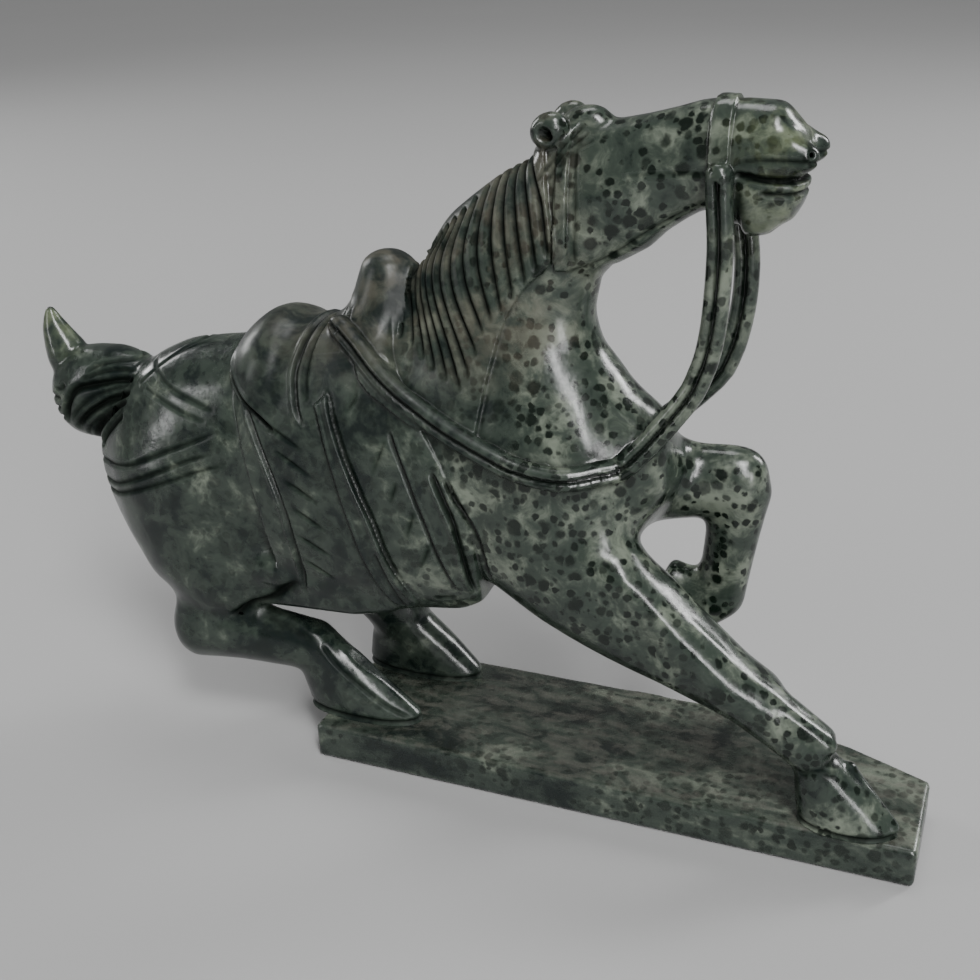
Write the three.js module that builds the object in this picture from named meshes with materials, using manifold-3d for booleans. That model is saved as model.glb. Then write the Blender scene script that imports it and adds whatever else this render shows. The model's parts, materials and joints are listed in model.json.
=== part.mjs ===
// Galloping horse figurine carved from one block of speckled serpentine, with its plinth.
//
// Frame, in millimetres: +X runs towards the horse's head, +Y towards its left side, +Z up.
// The origin is the centre of the plinth's underside.
// The horse's carved regions are separate solids, a hair's breadth apart along the carved lines.

import * as THREE from 'three';
import { mergeVertices } from 'three/addons/utils/BufferGeometryUtils.js';
import Module from 'manifold-3d';

const wasm = await Module();
wasm.setup();

// ---------------------------------------------------------------- driving dimensions

const PLINTH_LENGTH = 230;
const PLINTH_WIDTH = 66;
const PLINTH_HEIGHT = 15;
const PLINTH_CLIP_LENGTH = 75; // the far front corner of the block is cut away on a slant
const PLINTH_CLIP_WIDTH = 23;
const GAP = 0.3; // clearance between neighbouring solids
const SOLE = PLINTH_HEIGHT + GAP; // height of the hooves' soles
const MANE_RELIEF = 2.6; // how far the mane stands off the neck
const BAND_RELIEF = 1.5; // how far the bridle's bands stand off the head
const CLOTH_RELIEF = 3; // how far the saddle cloth stands off the barrel
const NOSEBAND = [30, 36.5]; // where the noseband lies along X
const THROAT_LATCH = [-19, -14.5];
const MOUTH_HEIGHT = 232.6;
const MOUTH_CORNER = 40;
const RUMP_SEAM = -140;
const SHOULDER_SEAM = -42;
const FAR = 400; // beyond the object on every side

const DARK_GREEN = 0x3f5147;
const MID_GREEN = 0x5b6d62;
const PALE_GREEN = 0x8b9a86;

// ---------------------------------------------------------------- solids from geometry

/** Turns a closed three.js geometry into a solid that can be cut and joined. */
function toSolid(geometry) {
  const bare = geometry.clone();
  bare.deleteAttribute('normal');
  bare.deleteAttribute('uv');
  const merged = mergeVertices(bare, 1e-5);
  return new wasm.Manifold(new wasm.Mesh({
    numProp: 3,
    vertProperties: new Float32Array(merged.attributes.position.array),
    triVerts: new Uint32Array(merged.index.array),
  }));
}

/** Keeps the largest connected body of a cut solid. */
function largestBody(solid) {
  const bodies = solid.decompose();
  return bodies.reduce((best, body) => (body.volume() > best.volume() ? body : best));
}

/** Turns a solid back into a geometry. */
function toGeometry(solid) {
  const mesh = solid.getMesh();
  const geometry = new THREE.BufferGeometry();
  geometry.setAttribute('position', new THREE.Float32BufferAttribute(mesh.vertProperties, 3));
  geometry.setIndex(new THREE.Uint32BufferAttribute(mesh.triVerts, 1));
  geometry.computeVertexNormals();
  return geometry;
}

/** A station of a carved form: its centre, its half-width in Y and its half-depth. */
const at = (x, y, z, across, deep) => ({ x, y, z, across, deep });

/** The same stations on the horse's other side. */
const mirrored = (stations) => stations.map((s) => ({ ...s, y: -s.y }));

const LOFT_DEFAULTS = { sides: 14, steps: 2, level: false, domes: [0.6, 0.6], power: 2 };
const DOME_ANGLES = [Math.PI / 6, Math.PI / 3]; // the rings between a dome's rim and its pole
const ACROSS = new THREE.Vector3(0, 1, 0);

/** A ring of points around a superellipse. */
function ringPoints(frame, across, deep, { sides, power }) {
  const bulge = (value) => Math.sign(value) * Math.abs(value) ** (2 / power);
  return Array.from({ length: sides }, (_, i) => {
    const angle = (2 * Math.PI * i) / sides;
    return frame.centre.clone()
      .addScaledVector(frame.across, across * bulge(Math.cos(angle)))
      .addScaledVector(frame.deep, deep * bulge(Math.sin(angle)));
  });
}

/**
 * A rounded form swept through stations, as a closed geometry.
 * Its rings stand square to the sweep, or lie level where `level` is set.
 * `grow` swells it evenly, and `domes` are the heights of its rounded ends over their radius.
 */
function loftGeometry(stations, options, grow) {
  const settings = { ...LOFT_DEFAULTS, ...options };
  const { sides, steps, level, domes } = settings;
  const centres = new THREE.CatmullRomCurve3(stations.map((s) => new THREE.Vector3(s.x, s.y, s.z)));
  const radii = new THREE.CatmullRomCurve3(stations.map((s) => new THREE.Vector3(s.across, s.deep, 0)));

  const frameAt = (t, push) => {
    const tangent = centres.getTangent(t);
    const travel = level ? new THREE.Vector3(0, 0, Math.sign(tangent.z)) : tangent;
    const deep = ACROSS.clone().cross(travel).normalize();
    const across = travel.clone().cross(deep).normalize();
    return { centre: centres.getPoint(t).addScaledVector(travel, push), across, deep };
  };
  const ringAt = (t, push, shrink) => {
    const radius = radii.getPoint(t).addScalar(grow).multiplyScalar(shrink);
    return ringPoints(frameAt(t, push), radius.x, radius.y, settings);
  };
  const endAt = (t, direction, dome) => {
    const radius = radii.getPoint(t).addScalar(grow);
    const height = dome * Math.min(radius.x, radius.y);
    const domeRing = (angle) => ringAt(t, direction * height * Math.sin(angle), Math.cos(angle));
    return {
      rim: ringAt(t, dome > 0 ? 0 : direction * grow, 1),
      rings: dome > 0 ? DOME_ANGLES.map(domeRing) : [],
      pole: frameAt(t, direction * (dome > 0 ? height : grow)).centre,
    };
  };

  const count = (stations.length - 1) * steps;
  const start = endAt(0, -1, domes[0]);
  const end = endAt(1, 1, domes[1]);
  const middle = Array.from({ length: count - 1 }, (_, i) => ringAt((i + 1) / count, 0, 1));
  const rings = [...start.rings.reverse(), start.rim, ...middle, end.rim, ...end.rings];
  const points = [...rings.flat(), start.pole, end.pole];
  const startPole = rings.length * sides;
  const lastRing = (rings.length - 1) * sides;
  const indices = [];
  for (let i = 0; i < sides; i += 1) {
    const j = (i + 1) % sides;
    indices.push(startPole, i, j);
    indices.push(startPole + 1, lastRing + j, lastRing + i);
    for (let base = 0; base < lastRing; base += sides) {
      indices.push(base + i, base + sides + i, base + j);
      indices.push(base + j, base + sides + i, base + sides + j);
    }
  }
  const geometry = new THREE.BufferGeometry().setFromPoints(points);
  geometry.setIndex(indices);
  return geometry;
}

// A form is a function from a swelling in millimetres to a solid.

/** A lofted form. */
function loft(stations, options = {}) {
  return (grow = 0) => toSolid(loftGeometry(stations, options, grow));
}

/** An ellipsoid with its long axis pitched up from X by `pitch` degrees. */
function lobe(centre, radii, pitch = 0) {
  return (grow = 0) => {
    const geometry = new THREE.SphereGeometry(1, 12, 8);
    geometry.scale(radii[0] + grow, radii[1] + grow, radii[2] + grow);
    geometry.rotateY(-THREE.MathUtils.degToRad(pitch));
    geometry.translate(...centre);
    return toSolid(geometry);
  };
}

/** A slab whose outline is drawn in X and Z, running through Y. */
function slab(outline, [from, to]) {
  return (grow = 0) => {
    const shape = new THREE.Shape(outline.map(([x, z]) => new THREE.Vector2(x, z)));
    const geometry = new THREE.ExtrudeGeometry(shape, { depth: to - from + 2 * grow, bevelEnabled: false });
    geometry.rotateX(Math.PI / 2);
    geometry.translate(0, to + grow, 0);
    return toSolid(geometry);
  };
}

const union = (...forms) => (grow = 0) => forms.map((form) => form(grow)).reduce((a, b) => a.add(b));
const overlap = (first, second) => (grow = 0) => first(grow).intersect(second(grow));
const swollen = (form, by) => (grow = 0) => form(grow + by);

/** The part of a form between two limits on one axis. */
function between(form, axis, low, high) {
  const normal = ['x', 'y', 'z'].map((name) => (name === axis ? 1 : 0));
  const reverse = normal.map((n) => -n);
  return (grow = 0) => form(grow).trimByPlane(normal, low - grow).trimByPlane(reverse, -(high + grow));
}

// ---------------------------------------------------------------- the model's nodes

const figurine = new THREE.Group();
const placed = [];

/** Adds a region, cut back by a gap wherever it meets the regions before it. */
function place(name, form, colour, roughness = 0.22) {
  const solid = placed.reduce((rest, earlier) => rest.subtract(earlier(GAP)), form());
  const material = new THREE.MeshStandardMaterial({ color: colour, roughness, metalness: 0 });
  const mesh = new THREE.Mesh(toGeometry(largestBody(solid)), material);
  mesh.name = name;
  figurine.add(mesh);
  placed.push(form);
}

/** Adds a region on the right side, and its twin on the left. */
function placePair(name, stations, options, colour) {
  place(`${name}_right`, loft(stations, options), colour);
  place(`${name}_left`, loft(mirrored(stations), options), colour);
}

// ---------------------------------------------------------------- plinth

function plinthForm() {
  const halfLength = PLINTH_LENGTH / 2;
  const halfWidth = PLINTH_WIDTH / 2;
  const outline = new THREE.Shape([
    new THREE.Vector2(-halfLength, -halfWidth),
    new THREE.Vector2(halfLength, -halfWidth),
    new THREE.Vector2(halfLength, halfWidth - PLINTH_CLIP_WIDTH),
    new THREE.Vector2(halfLength - PLINTH_CLIP_LENGTH * 0.4, halfWidth - PLINTH_CLIP_WIDTH * 0.45),
    new THREE.Vector2(halfLength - PLINTH_CLIP_LENGTH, halfWidth),
    new THREE.Vector2(-halfLength, halfWidth),
  ]);
  const geometry = new THREE.ExtrudeGeometry(outline, { depth: PLINTH_HEIGHT, bevelEnabled: false });
  return () => toSolid(geometry);
}

place('plinth', plinthForm(), MID_GREEN, 0.3);

// ---------------------------------------------------------------- trunk

const trunk = loft([
  at(-205, 0, 101, 22, 32),
  at(-188, 0, 105, 29.5, 43),
  at(-163, 0, 111, 32.5, 50),
  at(-135, 0, 118, 31.5, 47),
  at(-100, 0, 121, 31, 48),
  at(-65, 0, 125, 32, 50),
  at(-32, 0, 130, 32.5, 47),
  at(-4, 0, 132, 28, 36),
  at(12, 0, 134.5, 17, 20),
], { sides: 24, steps: 2, domes: [0.5, 0.45] });

place('rump', between(trunk, 'x', -FAR, RUMP_SEAM), DARK_GREEN);
place('barrel', between(trunk, 'x', RUMP_SEAM, SHOULDER_SEAM), DARK_GREEN);
place('chest', between(trunk, 'x', SHOULDER_SEAM, FAR), MID_GREEN);

// ---------------------------------------------------------------- neck, head and mane

const neck = loft([
  at(-30, 0, 140, 27, 36),
  at(-40.5, 0, 164, 23, 34.5),
  at(-40.5, 0, 187.5, 19, 33.2),
  at(-29.5, 0, 207, 16.5, 26),
  at(-18, 0, 221.5, 15, 18.8),
], { sides: 20, steps: 2, domes: [0, 0.5] });

const head = union(
  loft([
    at(-22, 0, 222, 13.5, 21),
    at(-8, 0, 224, 15, 23.5),
    at(8, 0, 231, 12.5, 19),
    at(22, 0, 236.5, 11, 16.5),
    at(34, 0, 238.5, 11.5, 17.5),
    at(46, 0, 234.5, 13.5, 22),
    at(53.5, 0, 233.5, 12.5, 16),
  ], { sides: 18, domes: [0.4, 0.5], power: 2.3 }),
  lobe([-12, 0, 212], [13, 15.5, 14.5], 20),
);

place('neck', neck, PALE_GREEN);
place('head', between(head, 'x', -FAR, (NOSEBAND[0] + NOSEBAND[1]) / 2), PALE_GREEN);

const snout = between(head, 'x', MOUTH_CORNER, FAR);
place('lower_jaw', between(snout, 'z', 0, MOUTH_HEIGHT), PALE_GREEN);
place('muzzle', between(head, 'x', NOSEBAND[0], FAR), PALE_GREEN);
place('noseband', between(swollen(head, BAND_RELIEF), 'x', ...NOSEBAND), PALE_GREEN);
place('ear_right', lobe([-22.5, -8.5, 245], [6.5, 4.5, 5.5], 30), PALE_GREEN);
place('ear_left', lobe([-21, 8.5, 246], [6.5, 4.5, 5.5], 30), PALE_GREEN);
place('forelock', lobe([-13, 0, 247], [8, 5.5, 4.5], 10), PALE_GREEN);

const throatLatch = between(swollen(head, BAND_RELIEF), 'x', ...THROAT_LATCH);
place('throat_latch_right', between(throatLatch, 'y', -FAR, 0), PALE_GREEN);
place('throat_latch_left', between(throatLatch, 'y', 0, FAR), PALE_GREEN);

const pommel = loft([
  at(-90, 0, 168, 16, 12),
  at(-89, 0, 182, 13.5, 11.5),
  at(-87, 0, 193, 10.5, 10),
], { level: true, domes: [0, 0.7] });
place('saddle_pommel', pommel, DARK_GREEN);

const maneOutline = slab([
  [-45, 147], [-40, 177], [-33, 192], [-21, 206], [-20, 236], [-30, 252],
  [-60, 252], [-95, 215], [-95, 170], [-75, 166], [-58, 160],
], [-FAR, FAR]);
const mane = overlap(swollen(neck, MANE_RELIEF), maneOutline);
place('mane_right', between(mane, 'y', -FAR, 0), MID_GREEN);
place('mane_left', between(mane, 'y', 0, FAR), MID_GREEN);

// ---------------------------------------------------------------- saddle and its cloth

const clothBody = loft([
  at(-138, 0, 115, 30 + CLOTH_RELIEF, 50),
  at(-110, 0, 116, 32 + CLOTH_RELIEF, 56),
  at(-80, 0, 118, 32 + CLOTH_RELIEF, 58),
  at(-50, 0, 122, 32 + CLOTH_RELIEF, 55),
], { sides: 24, domes: [0, 0], power: 2.5 });
const clothOutline = slab([
  [-144, 140], [-128, 76], [-120, 69], [-100, 66], [-84, 64], [-72, 69], [-54, 71],
  [-44, 78], [-46, 100], [-52, 126], [-66, 150], [-84, 172], [-118, 178], [-146, 172],
], [-FAR, FAR]);
const cloth = overlap(clothBody, clothOutline);

const cantle = loft([
  at(-142, 0, 149, 26, 21),
  at(-133, 0, 149, 31, 27),
  at(-124, 0, 149, 32, 26.5),
], { sides: 20, domes: [0.35, 0.1] });
const seat = loft([
  at(-126, 0, 150, 30, 24),
  at(-108, 0, 150, 29, 25.5),
  at(-92, 0, 152, 28, 28),
], { sides: 20, domes: [0, 0.2] });

place('saddle_cloth_right', between(cloth, 'y', -FAR, 0), DARK_GREEN);
place('saddle_cloth_left', between(cloth, 'y', 0, FAR), DARK_GREEN);
place('saddle_cantle', cantle, DARK_GREEN);
place('saddle_seat', seat, DARK_GREEN);

placePair('girth_strap', [
  at(-109, -28, 158, 3, 4),
  at(-102, -32, 141, 3, 4.4),
  at(-94, -34.5, 118, 2.4, 4.6),
  at(-87, -35, 95, 2.4, 4.6),
  at(-79, -34, 68, 2.4, 4.6),
], { sides: 10, domes: [0.5, 0] }, MID_GREEN);

// ---------------------------------------------------------------- reins

const REIN_FORM = { sides: 8, domes: [0.5, 0.5] };
const LEFT_REIN_BOW = 4; // the left rein hangs this much further forward

const looseRein = (bow) => [
  at(34, -13, 228, 3, 4),
  at(35 + bow / 2, -13, 214, 3, 4),
  at(34.5 + bow, -12.5, 196, 3, 4),
  at(32.5 + bow, -12.5, 178, 3, 4),
  at(27 + bow, -13, 162, 3, 4),
  at(19 + bow / 2, -15, 148, 3.2, 4),
];
place('rein_loose_right', loft(looseRein(0), REIN_FORM), PALE_GREEN);
place('rein_loose_left', loft(mirrored(looseRein(LEFT_REIN_BOW)), REIN_FORM), PALE_GREEN);
placePair('rein_shoulder', [
  at(19, -15, 148, 3.2, 4),
  at(7, -21, 137, 4, 4),
  at(-7, -27, 134, 4, 4),
  at(-22, -31.5, 135.5, 3.5, 4),
  at(-40, -33, 142, 3.2, 4),
  at(-58, -31.5, 150, 3.2, 4),
  at(-77, -27.5, 160, 4, 4),
  at(-92, -21.5, 171, 5, 4),
  at(-100, -13, 179, 5, 4),
], REIN_FORM, MID_GREEN);

// ---------------------------------------------------------------- tail

const tailKnot = loft([
  at(-196, 0, 136, 12, 12),
  at(-208, 0, 136, 15, 17),
  at(-222, 0, 132, 16, 20),
  at(-232, 0, 129, 14, 17),
], { domes: [0, 0.6] });
const tailTuft = loft([
  at(-230, 0, 138, 9, 11),
  at(-236, 0, 148, 7.5, 8.5),
  at(-240, 0, 158, 4.5, 5),
  at(-241, 0, 165, 1.6, 1.8),
], { domes: [0, 0.8] });
place('tail_knot', tailKnot, DARK_GREEN);
place('tail_tuft', tailTuft, PALE_GREEN);

// ---------------------------------------------------------------- legs

/** Adds one leg from its three lofts, top to bottom, cut off level at the sole where it stands. */
function placeLeg(side, names, forms, colour) {
  forms.forEach((form, i) => {
    place(`${names[i]}_${side}`, between(form, 'z', SOLE, FAR), colour);
  });
}

const FORE_NAMES = ['foreleg_upper', 'foreleg_cannon', 'fore_hoof'];
const HIND_NAMES = ['hindleg_thigh', 'hindleg_cannon', 'hind_hoof'];

placeLeg('right', FORE_NAMES, [
  loft([
    at(-26, -17, 109, 15.5, 32),
    at(-8, -18.5, 92, 15, 25),
    at(10, -19.5, 78, 13, 18),
    at(28, -20.5, 67.5, 11, 12.5),
    at(45, -21.5, 59.5, 10, 10.2),
  ]),
  loft([
    at(42, -21.5, 62, 8.5, 8.8),
    at(60, -22.5, 53, 9.8, 9.8),
    at(70.5, -23, 46.5, 9, 9.8),
    at(78.5, -23.5, 41, 8.8, 10),
  ], { domes: [0.3, 0.3] }),
  loft([
    at(79, -23.5, 38, 8, 8),
    at(83.5, -24, 30, 9, 12.5),
    at(88, -24.5, 22, 9.6, 16),
    at(92, -25, 14, 10, 18.8),
  ], { level: true, domes: [0.3, 0], power: 2.2 }),
], PALE_GREEN);

placeLeg('left', FORE_NAMES, [
  loft([
    at(-12, 13, 122, 15, 24),
    at(6, 15, 120, 14, 19),
    at(22, 16.5, 119, 12, 14.5),
    at(36, 17.5, 122, 10.5, 12.5),
    at(42, 18, 123, 9.5, 11),
  ], { domes: [0.3, 0.8] }),
  loft([
    at(40, 18, 117, 9.3, 10),
    at(37, 18, 101, 8.8, 9.8),
    at(35, 18, 86, 8.3, 9.2),
    at(33.5, 18, 72, 8.3, 8.6),
  ], { domes: [0.6, 0.7] }),
  loft([
    at(31, 18, 67, 8, 7.5),
    at(21, 18, 70, 9, 11),
    at(11, 18, 73, 9.5, 13),
  ], { domes: [0.4, 0.1] }),
], PALE_GREEN);

placeLeg('right', HIND_NAMES, [
  loft([
    at(-170, -15, 112, 18, 36),
    at(-171, -17, 88, 17, 32),
    at(-162, -18, 70, 15.5, 27),
    at(-160, -18.5, 58, 12, 22),
  ], { domes: [0.4, 0.5] }),
  loft([
    at(-174, -19, 43.5, 11.5, 15.5),
    at(-152, -19, 43.5, 10.5, 12.5),
    at(-134, -18.5, 43, 9.5, 12),
    at(-125, -18, 42, 9, 11),
  ], { domes: [0.9, 0.4] }),
  loft([
    at(-123, -17.5, 49, 8, 8),
    at(-117, -17.5, 40, 8.5, 13),
    at(-109, -17, 29, 9, 18.5),
    at(-97, -16.5, 14, 9.5, 27),
  ], { level: true, domes: [0.3, 0], power: 2.2 }),
], DARK_GREEN);

placeLeg('left', HIND_NAMES, [
  loft([
    at(-165, 15, 110, 18, 34),
    at(-152, 16.5, 86, 16, 26),
    at(-134, 17, 69, 14, 19),
    at(-119, 17.5, 59, 12.5, 16),
  ], { domes: [0.4, 0.6] }),
  loft([
    at(-113, 18, 56, 12, 15),
    at(-105, 19, 46, 11.5, 13.5),
    at(-100, 20, 38, 10.5, 13),
  ], { domes: [0.4, 0.3] }),
  loft([
    at(-100, 20, 40, 9, 12),
    at(-96, 21, 30, 9.8, 19),
    at(-90, 22, 14, 10, 28),
  ], { level: true, domes: [0.3, 0], power: 2.2 }),
], DARK_GREEN);

export default figurine;
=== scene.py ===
"""Looks of a galloping horse carved with its plinth from one block of speckled serpentine.

The horse's CAD regions are melted into one surface, that surface is engraved, and it is cut apart
again along the same regions. Neighbouring pieces then meet without a seam, as in one block of stone.
Shapes are worked out in millimetres and become metres when a mesh is made.
"""

import json
import math

import bpy
import numpy as np
import openvdb
from mathutils import Matrix, Vector


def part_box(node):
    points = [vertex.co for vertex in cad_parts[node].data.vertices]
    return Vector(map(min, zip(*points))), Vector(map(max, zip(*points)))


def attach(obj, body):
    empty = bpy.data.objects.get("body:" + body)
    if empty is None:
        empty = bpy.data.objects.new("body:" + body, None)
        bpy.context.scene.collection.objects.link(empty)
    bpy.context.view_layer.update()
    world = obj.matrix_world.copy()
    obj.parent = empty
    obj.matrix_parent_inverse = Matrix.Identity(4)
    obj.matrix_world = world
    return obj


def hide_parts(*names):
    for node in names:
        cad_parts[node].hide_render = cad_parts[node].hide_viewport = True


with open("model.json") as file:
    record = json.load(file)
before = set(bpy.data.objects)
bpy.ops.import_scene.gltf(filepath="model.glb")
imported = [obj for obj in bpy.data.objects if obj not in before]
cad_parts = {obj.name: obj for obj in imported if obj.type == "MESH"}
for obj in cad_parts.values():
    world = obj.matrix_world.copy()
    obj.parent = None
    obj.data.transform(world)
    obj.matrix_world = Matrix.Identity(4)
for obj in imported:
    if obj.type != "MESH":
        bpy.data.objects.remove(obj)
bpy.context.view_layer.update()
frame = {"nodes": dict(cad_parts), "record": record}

MM = 0.001
COARSE = 1.2  # spacing of the lattice that holds the big forms
BAND = 13.0  # how far from a surface its distances are kept
EMPTY = 40.0  # the distance where nothing is near
CLOSING = 0.2  # fills the gaps between CAD regions
TINY = 1e-6  # keeps a division from failing

RIGHT, LEFT = "right", "left"


def both(name):
    return [f"{name}_{RIGHT}", f"{name}_{LEFT}"]


# -------- distances on a lattice


def node_mesh(name):
    """A CAD node's points, in millimetres, and its triangles."""
    mesh = frame["nodes"][name].data
    points = np.empty(len(mesh.vertices) * 3, np.float32)
    mesh.vertices.foreach_get("co", points)
    mesh.calc_loop_triangles()
    corners = np.empty(len(mesh.loop_triangles) * 3, np.int32)
    mesh.loop_triangles.foreach_get("vertices", corners)
    return points.reshape(-1, 3) / MM, corners.reshape(-1, 3).astype(np.uint32)


def node_box(name):
    low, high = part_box(name)
    return np.array(low) / MM, np.array(high) / MM


def melt(a, b, reach):
    """The union of two forms, with a fillet of about `reach` where they meet."""
    if reach == 0:
        return np.minimum(a, b)
    overlap = np.maximum(reach - np.abs(a - b), 0) / reach
    return np.minimum(a, b) - overlap * overlap * (reach / 4)


def blur(values, width):
    """A Gaussian blur, with its width in samples."""
    reach = max(1, math.ceil(width * 2.5))
    weights = np.exp(-0.5 * (np.arange(-reach, reach + 1) / width) ** 2)
    weights /= weights.sum()
    for axis in range(values.ndim):
        pad = [(reach, reach) if i == axis else (0, 0) for i in range(values.ndim)]
        padded = np.moveaxis(np.pad(values, pad, mode="edge"), axis, 0)
        total = np.zeros_like(values)
        rows = np.moveaxis(total, axis, 0)
        for offset, weight in enumerate(weights):
            rows += np.float32(weight) * padded[offset : offset + len(rows)]
        values = total
    return values


def doubled(values):
    """The same samples with one more halfway between each two, on every axis."""
    for axis in range(values.ndim):
        size = list(values.shape)
        size[axis] = size[axis] * 2 - 1
        wider = np.empty(size, np.float32)
        rows, samples = np.moveaxis(wider, axis, 0), np.moveaxis(values, axis, 0)
        rows[::2] = samples
        rows[1::2] = (samples[:-1] + samples[1:]) / 2
        values = wider
    return values


class Lattice:
    """Signed distances on a regular lattice, below zero inside the stone."""

    def __init__(self, first, values, step):
        self.first = np.array(first)
        self.values = values
        self.step = step

    @classmethod
    def around(cls, low, high, step):
        first = np.floor(np.array(low) / step).astype(int)
        last = np.ceil(np.array(high) / step).astype(int)
        return cls(first, np.full(last - first + 1, EMPTY, np.float32), step)

    def window(self, low, high):
        """The slices that cover a box."""
        start = np.floor(np.array(low) / self.step).astype(int) - self.first
        stop = np.ceil(np.array(high) / self.step).astype(int) - self.first + 1
        start = np.clip(start, 0, None)
        stop = np.minimum(stop, self.values.shape)
        return tuple(slice(int(a), int(b)) for a, b in zip(start, stop))

    def part(self, window):
        """A copy of one window as a lattice of its own."""
        first = self.first + [s.start for s in window]
        return Lattice(first, self.values[window].copy(), self.step)

    def shared(self, other):
        """The windows of this lattice and another where they overlap."""
        start = np.maximum(self.first, other.first)
        stop = np.minimum(self.first + self.values.shape, other.first + other.values.shape)
        return tuple(
            tuple(slice(int(a), int(b)) for a, b in zip(start - one.first, stop - one.first))
            for one in (self, other)
        )

    def axes(self):
        """The lattice's X, Y and Z, each shaped to broadcast."""
        lines = [
            (np.arange(count) + first).astype(np.float32) * np.float32(self.step)
            for count, first in zip(self.values.shape, self.first)
        ]
        return np.ix_(*lines)

    def node(self, name, band=BAND):
        """A CAD node's distances as a small lattice."""
        points, triangles = node_mesh(name)
        small = self.part(self.window(points.min(0) - band, points.max(0) + band))
        grid = openvdb.FloatGrid.createLevelSetFromPolygons(
            points,
            triangles=triangles,
            transform=openvdb.createLinearTransform(voxelSize=self.step),
            halfWidth=band / self.step,
        )
        grid.copyToArray(small.values, ijk=[int(i) for i in small.first])
        return small

    def join(self, other, reach=0.0, grown=0.0):
        """Adds a form, with a fillet of about `reach`."""
        here, there = self.shared(other)
        self.values[here] = melt(self.values[here], other.values[there] - np.float32(grown), reach)

    def cut(self, other, reach=0.0):
        """Takes a form away."""
        here, there = self.shared(other)
        self.values[here] = -melt(-self.values[here], other.values[there], reach)

    def soften(self, width):
        self.values = blur(self.values, width / self.step)

    def halved(self):
        return Lattice(self.first * 2, doubled(self.values), self.step / 2)

    def sample(self, points):
        """Distances at any points, and EMPTY outside the lattice."""
        place = points / self.step - self.first
        limit = np.array(self.values.shape) - 1.001
        outside = ((place < 0) | (place > limit)).any(1)
        place = np.clip(place, 0, limit)
        base = place.astype(int)
        part = (place - base).astype(np.float32)
        total = np.zeros(len(points), np.float32)
        for corner in np.ndindex(2, 2, 2):
            weight = np.prod(np.where(corner, part, 1 - part), axis=1)
            i, j, k = (base + np.array(corner)).T
            total += weight * self.values[i, j, k]
        total[outside] = EMPTY
        return total


# -------- the horse's form

PLINTH_TOP = node_box("plinth")[1][2]
HORSE_NODES = [name for name in frame["nodes"] if name != "plinth"]


def stand_through(form, height):
    """Carries the section at a height straight down, so that the hooves pass into the plinth."""
    level = int(round(height / form.step)) - form.first[2]
    form.values[:, :, :level] = form.values[:, :, level : level + 1]


def horse_box(margin):
    """The box round the horse's CAD nodes, widened by a margin."""
    boxes = [node_box(name) for name in HORSE_NODES]
    low = np.min([box[0] for box in boxes], 0)
    high = np.max([box[1] for box in boxes], 0)
    return low - margin, high + margin


FOREARM = ((0.554, 0.669), (0.647, 0.563), (0.765, 0.401), (0.854, 0.295), (0.946, 0.174), (1.048, 0.104))
FLANK_BARS = (
    (((-0.03, 0.07), (-0.02, 0.16), (-0.02, 0.27)), (7, 8, 7), 4),
    (((0.02, 0.10), (0.20, 0.09), (0.42, 0.09)), (8, 8, 7), 3),
    (((0.0, -0.01), (0.20, 0.0), (0.42, 0.01), (0.58, 0.04)), (5.5, 5.5, 5.5, 5.0), 3),
)
SIDES = (0.16, 0.84)  # places near the right and the left, as shares of a node's width


def thicken(form, node, across, shares, radii, reach):
    """Melts a bar into the form, along a line drawn in shares of a node's box."""
    line = [at(node, x, across, z) for x, z in shares]
    form.join(capsule_chain(form, line, radii), reach)


def big_forms(nodes):
    """The trunk, neck, legs and tail, melted together on the coarse lattice."""
    form = Lattice.around(*horse_box(6), COARSE)

    def take(names, reach):
        for name in names:
            form.join(nodes[name], reach, CLOSING)

    take(["rump", "barrel", "chest"], 0)
    take(["neck"], 9)
    take(both("hindleg_thigh") + both("foreleg_upper"), 8)
    form.soften(3.0)
    take(both("hindleg_cannon") + both("foreleg_cannon"), 6)
    take(both("hind_hoof") + ["fore_hoof_right"], 3)
    take(["fore_hoof_left"], 9)
    take(["tail_knot"], 3)
    for across in (0.22, 0.44, 0.66):
        thicken(form, "foreleg_upper_right", across, FOREARM, (5.0, 6.0, 6.5, 6.5, 6.5, 5.5), 6)
    for across in SIDES:
        for shares, radii, reach in FLANK_BARS:
            thicken(form, "barrel", across, shares, radii, reach)
    stand_through(form, PLINTH_TOP + 3)
    form.soften(1.5)
    return form


def joined(one, two):
    """Two forms as one, on a lattice that holds both."""
    first = np.minimum(one.first, two.first)
    last = np.maximum(one.first + one.values.shape, two.first + two.values.shape)
    whole = Lattice(first, np.full(last - first, EMPTY, np.float32), one.step)
    whole.join(one)
    whole.join(two)
    return whole


def laid_over(form, nodes, names, width):
    """The part of the form under some regions, with them laid over it and all softened together."""
    cover = nodes[names[0]]
    for name in names[1:]:
        cover = joined(cover, nodes[name])
    patch = form.part(form.shared(cover)[0])
    for name in names:
        patch.join(nodes[name], 0, CLOSING)
    patch.soften(width)
    return patch


def curve(points, count=8):
    """A smooth line through a few points, with `count` steps between each two."""
    points = np.array(points, float)
    if len(points) < 3:
        return points
    ends = np.vstack([2 * points[0] - points[1], points, 2 * points[-1] - points[-2]])
    t = np.linspace(0, 1, count, endpoint=False)[:, None]
    line = []
    for a, b, c, d in zip(ends, ends[1:], ends[2:], ends[3:]):
        second, third = 2 * a - 5 * b + 4 * c - d, 3 * b - a - 3 * c + d
        line.append(0.5 * (2 * b + (c - a) * t + second * t**2 + third * t**3))
    return np.vstack(line + [points[-1:]])


def spots(node, shares):
    """Points in X and Z, given as shares of the width and height of a CAD node's box."""
    low, high = node_box(node)
    return low[[0, 2]] + np.array(shares, float) * (high - low)[[0, 2]]


def drawn(node, *shares):
    """A smooth line in X and Z through points given as shares of a node's box."""
    return curve(spots(node, shares))


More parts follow.
